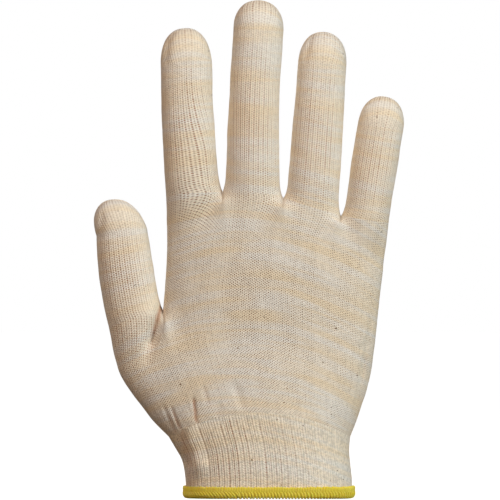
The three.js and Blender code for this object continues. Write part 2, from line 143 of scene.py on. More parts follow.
# How far the knit is pulled open. Places across go from 0 to 1, and below the thumb from -0.25 to 0.
stretch = {
    "limb": 0.22,
    "lowerHalf": {"more": 0.95, "height": (0.85, 0.35), "across": (0.42, 0.3)},
    "tip": {"more": 0.5, "height": (0.87, 0.94), "across": (0.5, 0.4)},
    "thumbRoot": 0.55,  # share of the above
    "thumbBlend": (0, 25),
    "fingerBlend": (0, 20),
    "palm": 0.45,
    # more open towards the left: partly stretch, partly painted shade on the side away from the key light
    "palmLeft": 0.55,
    "palmFade": (0.95, 0.1),
    "belowThumb": 0.45,
    "thumbEdge": (0, -0.12),
    "belowIndex": 0.35,
    "indexFade": (0.6, 0.05),
    "palmSide": 0.8,
}
# Where the openings join to columns: all along the limbs, less at the fingers' roots and below them
streaks = {
    "root": 0.3,
    "rise": (0, 25),
    "palmEnd": (0.2, 0),
    "thumbEnd": (0.7, 0.3),
    "thumbSide": (0.0, -0.1),
}
ribs = {
    "perSide": 42,
    "columnsPerRib": 6,
    "rowsPerCourse": 2,
    "innerShare": 4,  # rows of the outside to one of the inside
    "grooveWidth": 0.1,
    "relief": 0.12,
    "strength": (0.75, 0.45),  # at the least, and what chance adds
    # the grooves fade from the left, the side away from the key light, to the right: their depth is real
    # relief, their dark colour there is painted shade
    "fadeFromShadedSide": (0.97, 0.12),
    "latestStart": 0.16,
    "startLength": 0.06,
    "sway": [(0.1, 1.7, 0), (0.07, 2.9, 1)],  # height, pace and start of the grooves' uneven spacing
    "gather": 0.2,  # depth of the folds that run on up the palm
    "gatherReach": (2, 11),
    "gatherTop": 30,  # below the thumb's level
}

fingerWales = knit["walesPerSide"]
fingerColumns = fingerWales * knit["columnsPerWale"]
cuffFoot = glove["edgingHeight"] - glove["edgingBite"]
cuffTop = glove["edgingHeight"] + glove["cuffLength"]
thumbLevel = cuffTop + glove["fiveFingerLength"]
knuckleLevel = thumbLevel + glove["fourFingerLength"]
knuckleWidth = sum(f["span"] for f in fingers)
knuckleLeft = glove["palmShift"] - knuckleWidth / 2


def lerp(a, b, t):
    return a + (b - a) * t


def smoothstep(x, low=0.0, high=1.0):
    t = np.clip((x - low) / (high - low), 0, 1)
    return t * t * (3 - 2 * t)


def readTable(table, column, down):
    i = min(int(np.searchsorted(table[:, 0], down, side="right")) - 1, len(table) - 2)

    def slope(k):
        before, after = table[max(k - 1, 0)], table[min(k + 1, len(table) - 1)]
        return (after[column] - before[column]) / (after[0] - before[0])

    width = table[i + 1, 0] - table[i, 0]
    t = (down - table[i, 0]) / width
    ease = t * t * (3 - 2 * t)
    return lerp(table[i, column], table[i + 1, column], ease) + width * t * (1 - t) * (
        slope(i) * (1 - t) - slope(i + 1) * t
    )


def evenOval(halfWidth, depth, exponent, count):
    turn = np.linspace(0, math.pi, 721)
    across = -np.cos(turn)
    height = (1 - np.abs(across) ** exponent) ** (1 / exponent)
    x, y = halfWidth * across, depth * height
    run = np.concatenate([[0], np.cumsum(np.hypot(np.diff(x), np.diff(y)))])
    at = np.linspace(0, run[-1], count + 1)
    return np.interp(at, run, x), np.interp(at, run, y)


# A course is a pair of point rows, front and back, that share their two ends
def layCourse(left, right, section, inset, stitches):
    half = np.linalg.norm(right - left) / 2
    rows = []
    for depth, facing, sink in ((section["front"], -1, 0), (section["back"], 1, section.get("hollow", 0))):
        x, y = evenOval(half, depth - inset, section["exponent"], stitches)
        share = (x / half + 1) / 2
        middle = 4 * share * (1 - share)
        points = left + (right - left) * share[:, None]
        points[:, 2] += section.get("arch", 0) * middle
        points[:, 1] += facing * (y - sink * middle**2)
        rows.append(points)
    return np.array(rows)


def makeCourse(section, inset, stitches):
    along = section["right"] - section["left"]
    step = along / np.linalg.norm(along) * inset
    return layCourse(section["left"] + step, section["right"] - step, section, inset, stitches)


def makeLimb(shape, spanLeft, spanRight, leftSpace, rightSpace):
    along = (spanRight - spanLeft) / np.linalg.norm(spanRight - spanLeft)
    rootLeft = spanLeft + along * (leftSpace["gap"] / 2 if leftSpace else 0)
    rootRight = spanRight - along * (rightSpace["gap"] / 2 if rightSpace else 0)
    lean = math.radians(shape["lean"])
    axis = np.array([math.sin(lean), 0, math.cos(lean)])
    across = np.array([math.cos(lean), 0, -math.sin(lean)])
    tube = shape["length"] - shape["capHeight"]
    capMiddle = (rootLeft + rootRight) / 2 + axis * tube
    capMiddle[1] = shape.get("setBack", 0)
    ends = [(spanLeft, rootLeft, leftSpace, -1), (spanRight, rootRight, rightSpace, 1)]
    return {**shape, "ends": ends, "axis": axis, "across": across, "tube": tube, "capMiddle": capMiddle}


def curlAt(limb, height):
    return limb["curl"] * (height / limb["length"]) ** 2


def rootCourse(limb, inset, stitches):
    spanLeft, spanRight = limb["ends"][0][0], limb["ends"][1][0]
    along = (spanRight - spanLeft) / np.linalg.norm(spanRight - spanLeft)
    ends = []
    for span, root, space, side in limb["ends"]:
        if space:
            ends.append(span - np.array([0, 0, glove["crotchSink"] * inset]))
        else:
            ends.append(span - along * side * inset)
    depth = limb["rootDepth"] / 2
    section = {"front": depth, "back": depth, "exponent": glove["roundness"]}
    return layCourse(ends[0], ends[1], section, inset, stitches)


def tubeCourse(limb, height, inset, stitches):
    share = height / limb["tube"]
    middle = 4 * share * (1 - share)
    ends = []
    for span, root, space, side in limb["ends"]:
        opened = 1 - max(1 - height / space["gapRise"], 0) ** glove["crotchCurve"] if space else 1
        capEnd = limb["capMiddle"] + limb["across"] * side * limb["tipWidth"] / 2
        point = lerp(lerp(span, root, opened), capEnd, share)
        point = point + limb["across"] * side * inset * (1 - opened)
        point = point + limb["across"] * middle * (limb["bow"] - side * limb["waist"] / 2)
        point[1] += curlAt(limb, height)
        ends.append(point)
    depth = lerp(limb["rootDepth"], limb["tipDepth"], share) / 2
    section = {"front": depth, "back": depth, "exponent": glove["roundness"]}
    return makeCourse({**section, "left": ends[0], "right": ends[1]}, inset, stitches)


def capCourse(limb, share, inset, stitches):
    half, depth, rise = limb["tipWidth"] / 2 - inset, limb["tipDepth"] / 2 - inset, limb["capHeight"] - inset
    x, y = evenOval(half, depth, glove["roundness"], stitches)
    angle = np.linspace(glove["seamStart"], math.pi - glove["seamStart"], stitches + 1)
    seam = np.stack([-np.cos(angle), np.zeros_like(angle), np.sin(angle)], axis=1)
    rows = []
    for facing in (-1, 1):
        start = np.stack([x / half, facing * y / depth, np.zeros_like(x)], axis=1)
        start /= np.linalg.norm(start, axis=1)[:, None]
        turn = np.arccos(np.clip((start * seam).sum(axis=1), -1, 1))[:, None]
        unit = start * np.sin((1 - share) * turn) + seam * np.sin(share * turn)
        unit /= ((np.abs(unit) ** glove["roundness"]).sum(axis=1) ** (1 / glove["roundness"]))[:, None]
        points = limb["capMiddle"] + limb["axis"] * (rise * unit[:, 2])[:, None]
        points = points + limb["across"] * (half * unit[:, 0] + limb.get("skew", 0) * unit[:, 2])[:, None]
        points[:, 1] += depth * unit[:, 1] + curlAt(limb, limb["tube"] + rise * unit[:, 2])
        rows.append(points)
    return np.array(rows)


def layFingers():
    end = np.array([knuckleLeft, 0, knuckleLevel])
    limbs = []
    for i, shape in enumerate(fingers):
        start = end
        end = np.array([start[0] + shape["span"], 0, start[2] - shape["drop"]])
        before = fingers[i - 1] if i else None
        limbs.append(makeLimb(shape, start, end, before, shape if i < len(fingers) - 1 else None))
    return limbs


thumbCrotch = np.array([knuckleLeft - glove["palmBow"], 0, thumbLevel])
fingerLimbs = layFingers()
thumbSlope = math.radians(thumb["slope"])
thumbOuter = thumbCrotch - np.array([math.cos(thumbSlope), 0, math.sin(thumbSlope)]) * thumb["span"]
thumbOuter[1] = thumb["setBack"]
thumbLimb = makeLimb(thumb, thumbOuter, thumbCrotch, None, thumb)
knuckleRight = fingerLimbs[-1]["ends"][1][0]
heel = np.array([knuckleRight[0] - glove["heelInset"], 0, thumbLevel - glove["heelDrop"]])


def upperPalmSection(down):
    left = lerp(np.array([knuckleLeft, 0, knuckleLevel]), thumbCrotch, down)
    left[0] += glove["palmBow"] * 4 * down * (1 - down)
    depth = lerp(fingers[1]["rootDepth"] + 2 * glove["wall"], glove["palmDepth"], smoothstep(down))
    return {
        "left": left,
        "right": lerp(knuckleRight, heel, down),
        "arch": lerp(glove["knuckleArch"], glove["courseArch"], down),
        "hollow": glove["palmHollow"] * smoothstep(down, 0, glove["hollowStart"]),
        "exponent": glove["roundness"],
        "front": depth * (1 - glove["shareBack"]),
        "back": depth * glove["shareBack"],
    }


def cuffSection(down):
    height = lerp(cuffTop, cuffFoot, down)
    depth = glove["cuffDepth"] * readTable(cuffOutline, 3, down)
    return {
        "left": np.array([glove["cuffWidth"] * readTable(cuffOutline, 1, down), 0, height]),
        "right": np.array([glove["cuffWidth"] * readTable(cuffOutline, 2, down), 0, height]),
        "arch": glove["cuffArch"] * (1 - down),
        "exponent": glove["cuffRoundness"],
        "front": depth * (1 - glove["shareBack"]),
        "back": depth * glove["shareBack"],
    }


def lowerPalmSection(down):
    end = cuffSection(0)
    leftIn, leftDown, rightIn, rightDown, depthIn = (readTable(lowerPalm, c, down) for c in range(1, 6))
    outer = thumbLimb["ends"][0][0]

    def corner(top, bottom, across, drop):
        return lerp(top, bottom, np.array([across, drop, drop]))

    return {
        "left": corner(outer, end["left"], leftIn, leftDown),
        "right": corner(heel, end["right"], rightIn, rightDown),
        "arch": lerp(glove["heelArch"], end["arch"], down),
        "hollow": glove["palmHollow"] * (1 - smoothstep(down, 0, glove["hollowEnd"])),
        "exponent": lerp(glove["roundness"], end["exponent"], down),
        "front": lerp(glove["palmDepth"] * (1 - glove["shareBack"]), end["front"], depthIn),
        "back": lerp(glove["palmDepth"] * glove["shareBack"], end["back"], depthIn),
    }


def joinCourses(courses):
    return np.concatenate([c if not i else c[:, 1:] for i, c in enumerate(courses)], axis=1)


def fade(down, over):
    return (1 - smoothstep(down, 0, over)) ** 2


# How far a place along a course lies out of the valley below the nearest of the first few crotches
def outOfValley(place, crotches):
    crotch = np.clip(np.round(place), 1, crotches)
    return smoothstep(np.abs(place - crotch), *glove["valleySides"])


def palmCourses(inset, stitches, upperShares, lowerShares):
    four = len(fingerLimbs) * stitches
    knuckles = joinCourses([rootCourse(limb, inset, stitches) for limb in fingerLimbs])
    plainKnuckles = makeCourse(upperPalmSection(0), inset, four)
    outOfValleys = outOfValley(np.arange(four + 1) / stitches, len(fingerLimbs) - 1)
    upper = []
    for down in upperShares:
        share = np.full((four + 1, 3), fade(down, glove["knuckleFade"]))
        share[:, 1] = lerp(fade(down, glove["valleyFade"]), share[:, 1], outOfValleys)
        plain = makeCourse(upperPalmSection(down), inset, four)
        upper.append(plain + (knuckles - plainKnuckles) * share)
    thumbRoot = rootCourse(thumbLimb, inset, stitches)
    upper[-1][:, 0] = thumbRoot[0, -1]
    widest = joinCourses([thumbRoot, upper[-1]])
    plainWidest = makeCourse(lowerPalmSection(0), inset, four + stitches)
    outOfValleys = outOfValley(np.arange(four + stitches + 1) / stitches, 1)
    lower = []
    for down in lowerShares:
        share = np.full((four + stitches + 1, 3), fade(down, glove["thumbFade"]))
        share[:, 1] = lerp(fade(down, glove["thumbValleyFade"]), share[:, 1], outOfValleys)
        plain = makeCourse(lowerPalmSection(down), inset, four + stitches)
        lower.append(plain + (widest - plainWidest) * share)
    return np.array(upper), np.array(lower)


# Fabric is gathered as loose quads, each corner with its wale, course, openness and streak, then welded
def newFabric():
    return {"corners": [], "knit": [], "inner": []}


def addQuads(fabric, corners, knitPlaces, outwards, inner):
    order = (0, 1, 2, 3) if outwards else (0, 3, 2, 1)
    quads = np.stack([corners[k] for k in order], axis=-2).reshape(-1, 4, 3)
    places = np.stack([knitPlaces[k] for k in order], axis=-2).reshape(-1, 4, 4)
    fabric["corners"].append(quads)
    fabric["knit"].append(places)
    fabric["inner"].append(np.full(len(quads), inner))


# Courses from the highest down, with openness and streak as grids
def weave(fabric, courses, numbers, wales, openness, streak, inner=False, lean=0):
    courses = np.asarray(courses)
    rows, columns = courses.shape[0], courses.shape[2]
    for side, sign in ((0, 1), (1, -1)):
        grid = courses[:, side]
        places = np.empty((rows, columns, 4))
        places[..., 0] = sign * wales[None, :] - (lean * leanOf(grid) if side == 0 else 0)
        places[..., 1] = numbers(grid) if callable(numbers) else np.asarray(numbers)[:, None]
        places[..., 2] = openness if side == 0 else openness[:, ::-1] * stretch["palmSide"]
        places[..., 3] = streak if side == 0 else streak[:, ::-1]
        low, high = grid[1:], grid[:-1]
        corners = (low[:, :-1], low[:, 1:], high[:, 1:], high[:, :-1])
        knitPlaces = (places[1:, :-1], places[1:, 1:], places[:-1, 1:], places[:-1, :-1])
        addQuads(fabric, corners, knitPlaces, (side == 0) != inner, inner)


# How many wales the knit is drawn to the right, towards the first crotch
def leanOf(grid):
    lean = knit["lean"]
    share = smoothstep(grid[..., 2], *lean["up"]) * smoothstep(grid[..., 2], *lean["down"])
    return lean["wales"] * bump(grid[..., 0], lean["middle"], lean["width"]) * share


# The cut edge between the wall's two faces
def rim(fabric, outer, inner, wales, facesDown):
    for side in (0, 1):
        place = np.zeros((len(wales), 4))
        place[:, 0] = wales
        out, into = outer[side], inner[side]
        corners = (out[:-1], into[:-1], into[1:], out[1:])
        knitPlaces = (place[:-1], place[:-1], place[1:], place[1:])
        addQuads(fabric, corners, knitPlaces, facesDown == (side == 0), True)


# Corners that meet become one point, but the wall's two faces stay apart
def weld(fabric):
    corners = np.concatenate(fabric["corners"])
    knitPlace = np.concatenate(fabric["knit"])
    inner = np.concatenate(fabric["inner"])
    keys = np.round(corners.reshape(-1, 3) * 1000).astype(np.int64)
    keys = np.column_stack([keys, np.repeat(inner, 4)])
    _, first, index = np.unique(keys, axis=0, return_index=True, return_inverse=True)
    index = index.reshape(-1, 4)
    points = corners.reshape(-1, 3)[first]
    cloth = {"points": points, "quads": index, "knit": knitPlace[..., :2], "flat": inner}
    cloth["outer"] = np.zeros(len(first), dtype=bool)
    cloth["outer"][index[~inner].ravel()] = True
    for column, key in ((0, "wale"), (2, "openness"), (3, "streak")):
        cloth[key] = np.zeros(len(first))
        cloth[key][index.ravel()] = knitPlace[..., column].ravel()
    return cloth


def normalsOf(points, quads):
    across = points[quads[:, 2]] - points[quads[:, 0]]
    along = points[quads[:, 3]] - points[quads[:, 1]]
    faceNormals = np.cross(across, along)
    normals = np.zeros_like(points)
    for k in range(4):
        np.add.at(normals, quads[:, k], faceNormals)
    return normals / np.maximum(np.linalg.norm(normals, axis=1), 1e-9)[:, None]


# Rounds the cloth off around the crotches, by moving its points towards their neighbours, and moves
# its inside away from there
def relax(cloth, crotches):
    points, quads = cloth["points"].copy(), cloth["quads"][~cloth["flat"]]
    inside = normalsOf(points, cloth["quads"][cloth["flat"]]) * ~cloth["outer"][:, None]
    ends = np.concatenate([quads[:, [k, (k + 1) % 4]] for k in range(4)])
    ends = np.concatenate([ends, ends[:, ::-1]])
    count = np.maximum(np.bincount(ends[:, 0], minlength=len(points)), 1)[:, None]
    away = np.min([np.linalg.norm(points - crotch, axis=1) for crotch in crotches], axis=0)
    close = smoothstep(away, *knit["relaxed"])[:, None]
    points += knit["insideMove"] * inside * close
    share = knit["relaxShare"] * close * cloth["outer"][:, None]
    for _ in range(knit["relaxRounds"]):
        near = [np.bincount(ends[:, 0], points[ends[:, 1], k], len(points)) for k in range(3)]
        points = lerp(points, np.column_stack(near) / count, share)
    return points


def makeMesh(name, cloth, material, attributes):
    mesh = bpy.data.meshes.new(name)
    points, quads = cloth["points"] * metre, cloth["quads"]
    mesh.vertices.add(len(points))
    mesh.vertices.foreach_set("co", points.astype(np.float32).ravel())
    mesh.loops.add(quads.size)
    mesh.loops.foreach_set("vertex_index", quads.astype(np.int32).ravel())
    mesh.polygons.add(len(quads))
    mesh.polygons.foreach_set("loop_start", np.arange(0, quads.size, 4, dtype=np.int32))
    smooth = ~cloth["flat"] if "flat" in cloth else np.ones(len(quads), dtype=bool)
    mesh.polygons.foreach_set("use_smooth", smooth)
    layer = mesh.uv_layers.new(name="knit")
    layer.data.foreach_set("uv", cloth["knit"].astype(np.float32).ravel())
    for key in attributes:
        mesh.attributes.new(key, "FLOAT", "POINT").data.foreach_set("value", cloth[key].astype(np.float32))
    mesh.update()
    mesh.validate()
    piece = bpy.data.objects.new(name, mesh)
    bpy.context.scene.collection.objects.link(piece)
    mesh.materials.append(material)
    return piece


# Slow unevenness of a surface, in millimetres
def lumpsAt(points, layers, seed):
    total = np.zeros(len(points))
    for size, height in layers:
        shift = Vector((seed * 7.3, seed * 3.1, size))
        total += height * np.array([noise.noise(Vector(p / size) + shift) for p in points])
    return total


# Creases and dents, each from one point to another on the side that it lies on, and the painted shade
# along each. A crease of negative depth is a swelling. Points of the inside, which have no normal here,
# go along where they lie on that half of the glove, or nearly.
def pressCreases(points, normals, creases, facing):
    pressed = points.copy()
    mark = np.zeros(len(points))
    onSide = np.where(np.any(normals, axis=1), normals[:, 1] * facing > 0.05, points[:, 1] * facing > -2)
    flat = points[:, [0, 2]]
    for startX, startZ, endX, endZ, width, depth, strength, gone in creases:
        start = np.array([startX, startZ], dtype=float)
        run = np.array([endX, endZ], dtype=float) - start
        t = np.clip(((flat - start) @ run) / (run @ run), 0, 1)
        away = np.linalg.norm(flat - start - t[:, None] * run, axis=1)
        ending = 1 - gone * t
        pressed[:, 1] -= np.where(onSide, facing * depth * smoothstep(away, width, 0) * ending, 0)
        # painted shade along the middle of each crease, on top of its real dent
        line = smoothstep(away, knit["markWidth"] * width, 0) * ending
        mark = np.maximum(mark, np.where(onSide, line * strength, 0))
    return pressed, mark


# Columns: from x, from z, to x, to z, width, depth, painted shade along it, share of it that is gone at its
# far end
frontCreases = [
    [-51.9, 90, -51.7, 80, 2.8, -1.1, 0, 0.7],  # at the thumb's root
    [-52.4, 91, -57.2, 76.6, 4.4, 1.5, 0, 0],
    [-57.2, 76.6, -60.5, 64, 5, 1.5, 0, 1],
    [-52.2, 93, -56.0, 80.5, 2.0, 1.4, 0.9, 0.3],
    [-56.0, 80.5, -58.2, 71, 2.0, 0.9, 0.5, 1],
    [-36.4, 47.5, -35.3, 38, 1.7, 0.8, 0.7, 0],  # above the cuff
    [-38.6, 44, -37.4, 38, 1.4, 0.3, 0, 0],
    [-46.6, 43, -43.4, 34.5, 1.5, 0.6, 0.45, 0],
    [-48.2, 39.5, -45.4, 32, 1.3, 0.45, 0.3, 0],
    [-50.4, 43.5, -47.8, 35, 1.6, 0.5, 0, 0],
    [-31.2, 53, -29.9, 47.5, 2.2, 0.5, 0.1, 0],
    [-16.5, 54, -13.5, 46, 3.4, 0.7, 0, 0],
    [-24, 45, -25.5, 41, 2.6, 0.5, 0, 0],
    [49.5, 86.3, 46.1, 66.9, 1.8, 0.7, 0, 0],  # along the far edge
    [46.1, 66.9, 42.7, 48, 1.8, 0.9, 0, 0],
    [42.7, 48, 41.2, 41, 1.8, 0.9, 0, 0],
    [44.1, 72.8, 49.5, 75.2, 1.6, 0.6, 0, 0],
    [-45.2, 228, -49, 221, 2.4, 0.9, 0, 0],  # beside the fingertips
    [-49, 221, -50, 212, 2.2, 0.8, 0, 0],
    [-15.2, 232, -17, 226, 2, 0.6, 0, 0],
    [21, 225, 17.6, 213, 2.4, 0.9, 0, 0],
    [-80.8, 137, -82, 126, 2.2, 0.8, 0, 0],
]
cuffCreases = [
    [-43.5, 46, -35, 16, 7, -1.3, 0, 0],  # where the cuff turns to its side
    [-35, 16, -35.5, 4, 7, -1.3, 0, 0.5],
    [-45, 42, -38.6, 17, 3.6, 0.9, 0.3, 0],
    [-38.6, 17, -38.6, 3, 3.2, 0.8, 0.3, 0.5],
]


def ribGroove(rib):
    away = np.abs(rib - np.floor(rib) - 0.5)
    return np.exp(-((away / ribs["grooveWidth"]) ** 2))


# 0 to 1, the same for the same number every time
def chanceOf(index, seed):
    value = np.sin((index + 1) * 12.9898 + seed * 78.233) * 43758.5453
    return value - np.floor(value)


def palmNumbers(grid):
    sunk = grid[..., 2] + knit["courseSag"] * (grid[..., 0] - knit["courseTop"]) ** 2
    return (knuckleLevel - sunk) / knit["palmCourse"]


def bump(x, middle, width):
    return np.exp(-(((x - middle) / width) ** 2))


# Openness over a grid of heights, as shares of the finger, and places across it
def limbOpenness(heights, across):
    openness = stretch["limb"]
    for key in ("lowerHalf", "tip"):
        part = stretch[key]
        place = np.outer(smoothstep(heights, *part["height"]), bump(across, *part["across"]))
        openness = openness + part["more"] * place
    return openness


# Stretched most below the index finger, where down and across are 0, and less below the thumb
def palmOpenness(down, across):
    # partly painted shade: more open, and so darker, towards the left
    left = smoothstep(across, *stretch["palmFade"])
    belowThumb = lerp(1, stretch["belowThumb"], smoothstep(across, *stretch["thumbEdge"]))
    even = stretch["palm"] + stretch["palmLeft"] * left * belowThumb
    index = smoothstep(across, *stretch["indexFade"]) * smoothstep(across, *stretch["thumbEdge"][::-1])
    return even[None, :] + stretch["belowIndex"] * np.outer(1 - down, index)


def courseShares(length, course, inner):
    rows = max(int(round(length / course / knit["coursesPerRow"])), 3)
    return np.linspace(0, 1, rows // knit["innerShare"] + 2 if inner else rows + 1)


# Returns the palm's last course and its wales
def weavePalm(fabric, inset):
    inner = inset > 0
    upperShares = courseShares(glove["fourFingerLength"], knit["palmCourse"], inner)
    lowerShares = courseShares(glove["fiveFingerLength"], knit["palmCourse"], inner)
    upper, lower = palmCourses(inset, fingerColumns, upperShares, lowerShares)
    tubes = len(fingers) + 1
    tucked = []
    for down, sink in knit["tuck"]:
        tucked.append(makeCourse(cuffSection(down), max(inset, sink), tubes * fingerColumns))
    lower = np.concatenate([lower, tucked])
    fourAcross = np.linspace(0, 1, upper.shape[2])
    fiveAcross = np.linspace(-1 / len(fingers), 1, lower.shape[2])
    fourWales = fingerWales + np.linspace(0, len(fingers) * fingerWales, upper.shape[2])
    fiveWales = np.linspace(0, tubes * fingerWales, lower.shape[2])
    fourOpen = palmOpenness(upperShares * 0.5, fourAcross)
    fiveOpen = palmOpenness(0.5 + np.linspace(0, 0.5, len(lower)), fiveAcross)
    belowRoots = streaks["root"] * smoothstep(upperShares, *streaks["palmEnd"])
    fourStreak = np.outer(belowRoots, np.ones(len(fourAcross)))
    belowThumb = smoothstep(fiveAcross, *streaks["thumbSide"])
    fiveStreak = np.outer(smoothstep(np.linspace(0, 1, len(lower)), *streaks["thumbEnd"]), belowThumb)
    weave(fabric, upper, palmNumbers, fourWales, fourOpen, fourStreak, inner, 1)
    weave(fabric, lower, palmNumbers, fiveWales, fiveOpen, fiveStreak, inner, 1)
    return lower[-1], fiveWales


# The thumb is limb 0 and the fingers follow
def weaveLimb(fabric, k, limb, inset):
    inner = inset > 0
    capLength = limb["capHeight"] * knit["capStretch"]
    tubeShares = courseShares(limb["tube"], knit["limbCourse"], inner)
    capShares = courseShares(capLength, knit["limbCourse"], inner)[1:]
    courses = [rootCourse(limb, inset, fingerColumns)]
    courses += [tubeCourse(limb, share * limb["tube"], inset, fingerColumns) for share in tubeShares[1:]]
    courses += [capCourse(limb, share, inset, fingerColumns) for share in capShares]
    run = np.concatenate([tubeShares * limb["tube"], limb["tube"] + capShares * capLength])[::-1]
    limbWales = k * fingerWales + np.linspace(0, fingerWales, fingerColumns + 1)
    openness = limbOpenness(run / run[0], np.linspace(0, 1, fingerColumns + 1))
    if k:
        below = palmOpenness(np.zeros(1), np.linspace(k - 1, k, fingerColumns + 1) / len(fingers))
        openness = lerp(below, openness, smoothstep(run, *stretch["fingerBlend"])[:, None])
        streak = lerp(streaks["root"], 1, smoothstep(run, *streaks["rise"]))
    else:
        openness = openness * lerp(stretch["thumbRoot"], 1, smoothstep(run, *stretch["thumbBlend"]))[:, None]
        streak = np.ones(len(run))
    streak = np.outer(streak, np.ones(fingerColumns + 1))
    numbers = knit["limbStart"] * (k + 1) - run / knit["limbCourse"]
    weave(fabric, courses[::-1], numbers, limbWales, openness, streak, inner, min(k, 1))


# Height of the wales' legs and ladders, with the cuff's grooves running on upwards as gathers
def handRelief(cloth, points):
    part = cloth["wale"] - np.floor(cloth["wale"])
    legs = np.abs(np.sin(2 * math.pi * part))
    ladder = smoothstep(np.minimum(part, 1 - part), knit["ladderWidth"], 0)
    lift = knit["legRelief"] * legs - knit["ladderDepth"] * ladder * cloth["openness"]
    lift = lift * cloth["streak"]
    rib = np.abs(cloth["wale"] / ((len(fingers) + 1) * fingerWales) * ribs["perSide"])
    reach = lerp(*ribs["gatherReach"], chanceOf(np.floor(rib), 3) ** 2)
    across = rib / ribs["perSide"]
    above = points[:, 2] - cuffTop - glove["cuffArch"] * 4 * across * (1 - across)
    belowTop = points[:, 2] < thumbLevel - ribs["gatherTop"]
    gathered = smoothstep(1 - above / reach) * smoothstep(above, 0, 1) * belowTop
    return lift - ribs["gather"] * ribGroove(rib) * gathered


def raiseCloth(cloth, creases, reliefOf):
    outerQuads = cloth["quads"][~cloth["flat"]]
    points, cloth["mark"] = pressCreases(cloth["points"], normalsOf(cloth["points"], outerQuads), creases, -1)
    lift = reliefOf(cloth, points) + lumpsAt(points, knit["lumps"], 1)
    cloth["points"] = points + normalsOf(points, outerQuads) * (lift * cloth["outer"])[:, None]
    return cloth


def buildHand():
    fabric = newFabric()
    for inset in (0, glove["wall"]):
        last, lastWales = weavePalm(fabric, inset)
        if inset:
            rim(fabric, lastOuter, last, lastWales, True)
        lastOuter = last
        for k, limb in enumerate([thumbLimb] + fingerLimbs):
            weaveLimb(fabric, k, limb, inset)
    cloth = weld(fabric)
    crotches = [limb["ends"][1][0] for limb in fingerLimbs[:-1]] + [thumbCrotch]
    cloth["points"] = relax(cloth, crotches)
    return raiseCloth(cloth, frontCreases, handRelief)


def cuffRelief(cloth, points):
    return -ribs["relief"] * ribGroove(np.abs(cloth["wale"]) - 0.5) * cloth["openness"]


def buildCuff():
    columns = ribs["perSide"] * ribs["columnsPerRib"]
    rib = np.linspace(0, ribs["perSide"], columns + 1)
    rows = int(round(glove["cuffLength"] / knit["palmCourse"] * ribs["rowsPerCourse"])) + 1
    downs = np.linspace(0, 1, rows)
    fabric = newFabric()
    outer = [makeCourse(cuffSection(down), 0, columns) for down in downs]
    tucked = glove["wall"] + glove["ribHeight"]
    inner = [makeCourse(cuffSection(down), tucked, columns) for down in downs[:: ribs["innerShare"]]]
    least, more = ribs["strength"]
    strength = least + more * chanceOf(np.round(rib + 0.5), 5)
    firstRow = ribs["latestStart"] * chanceOf(np.round(rib + 0.5), 9)  # where each groove starts
    begun = smoothstep(downs[:, None] - firstRow, 0, ribs["startLength"])
    # painted shade: the grooves' openings, and so their dark colour, fade from the left across to the right
    openness = strength * smoothstep(rib / ribs["perSide"], *ribs["fadeFromShadedSide"]) * begun
    uneven = rib + 0.5
    for height, pace, start in ribs["sway"]:
        uneven = uneven + height * np.sin(rib * pace + start)
    weave(fabric, outer, palmNumbers, uneven, openness, np.ones_like(openness))
    innerOpenness = openness[: len(inner)]
    weave(fabric, inner, palmNumbers, uneven, innerOpenness, np.ones_like(innerOpenness), True)
    rim(fabric, outer[0], inner[0], rib, False)
    rim(fabric, outer[-1], inner[-1], rib, True)
    return raiseCloth(weld(fabric), cuffCreases, cuffRelief)


# Helpers that add a node and give its result
def addNode(tree, kind, **settings):
    node = tree.nodes.new(kind)
    for key, value in settings.items():
        setattr(node, key, value)
    return node


def plug(tree, target, value):
    if isinstance(value, bpy.types.NodeSocket):
        tree.links.new(value, target)
    else:
        target.default_value = value


def setInputs(tree, node, values):
    for key, value in values.items():
        plug(tree, node.inputs[key], value)


def maths(tree, operation, *values, clamp=False):
    node = addNode(tree, "ShaderNodeMath", operation=operation, use_clamp=clamp)
    for target, value in zip(node.inputs, values):
        plug(tree, target, value)
    return node.outputs[0]


def times(tree, first, *others):
    product = first
    for other in others:
        product = maths(tree, "MULTIPLY", product, other)
    return product


def ramp(tree, value, low, high, toLow=0.0, toHigh=1.0):
    node = addNode(tree, "ShaderNodeMapRange", interpolation_type="SMOOTHSTEP")
    for target, v in zip(node.inputs, (value, low, high, toLow, toHigh)):
        plug(tree, target, v)
    return node.outputs[0]


def mixColor(tree, share, a, b):
    node = addNode(tree, "ShaderNodeMix", data_type="RGBA")
    for target, value in ((0, share), (6, a), (7, b)):
        plug(tree, node.inputs[target], value)
    return node.outputs[2]


def attributeAt(tree, name):
    return addNode(tree, "ShaderNodeAttribute", attribute_name=name).outputs["Fac"]


def pairOf(tree, x, y):
    node = addNode(tree, "ShaderNodeCombineXYZ")
    plug(tree, node.inputs[0], x)
    plug(tree, node.inputs[1], y)
    return node.outputs[0]


def newGroup(name, inputs, outputs):
    tree = bpy.data.node_groups.new(name, "ShaderNodeTree")
    for key, value in inputs.items():
        socket = tree.interface.new_socket(name=key, in_out="INPUT", socket_type="NodeSocketFloat")
        socket.default_value = value
    for key in outputs:
        tree.interface.new_socket(name=key, in_out="OUTPUT", socket_type="NodeSocketFloat")
    return tree, tree.nodes.new("NodeGroupInput").outputs, tree.nodes.new("NodeGroupOutput").inputs


def placeGroup(tree, group, **values):
    node = addNode(tree, "ShaderNodeGroup", node_tree=group)
    setInputs(tree, node, values)
    return node.outputs


